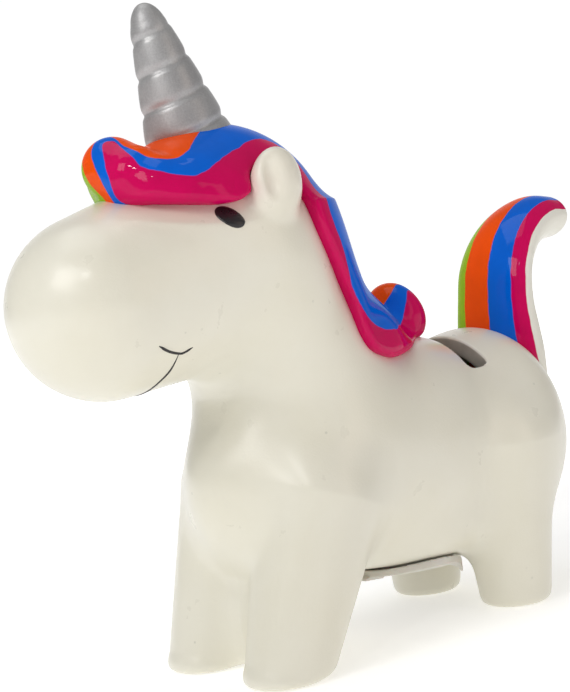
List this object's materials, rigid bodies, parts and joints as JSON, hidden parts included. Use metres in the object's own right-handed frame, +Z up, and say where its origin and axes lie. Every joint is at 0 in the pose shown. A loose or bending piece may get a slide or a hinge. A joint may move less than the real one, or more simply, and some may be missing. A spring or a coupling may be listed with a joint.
{
  "type": "money bank",
  "caption": "Hollow ceramic unicorn money bank with a spiral horn, striped mane and tail, a coin slot across the back and a soft plug in the belly.",
  "frame": {"origin": "on the floor, under the middle of the whole bank seen from above", "axes": "+Z up, the animal faces -Y, its left side is +X"},
  "size_m": [0.0608, 0.178, 0.16],
  "materials": {
    "white_ceramic": "satin white paint over cast ceramic",
    "striped_enamel": "gloss enamel stripes, green, orange, blue and pink from the animal's right to its left",
    "silver_paint": "satin silver paint over cast ceramic",
    "black_enamel": "gloss black",
    "soft_plug": "matt translucent soft vinyl"
  },
  "bodies": {
    "bank": {"body_shell": "white_ceramic", "mane": "striped_enamel", "horn": "silver_paint", "tail": "striped_enamel", "left_ear": "white_ceramic", "right_ear": "white_ceramic", "left_eye": "black_enamel", "right_eye": "black_enamel"},
    "closure": {"belly_closure": "soft_plug"}
  },
  "joints": [
    {"name": "closure_pull", "type": "slide", "parent": "bank", "child": "closure", "axis": [0, 0, -1], "range_m": [0, 0.0085]}
  ]
}
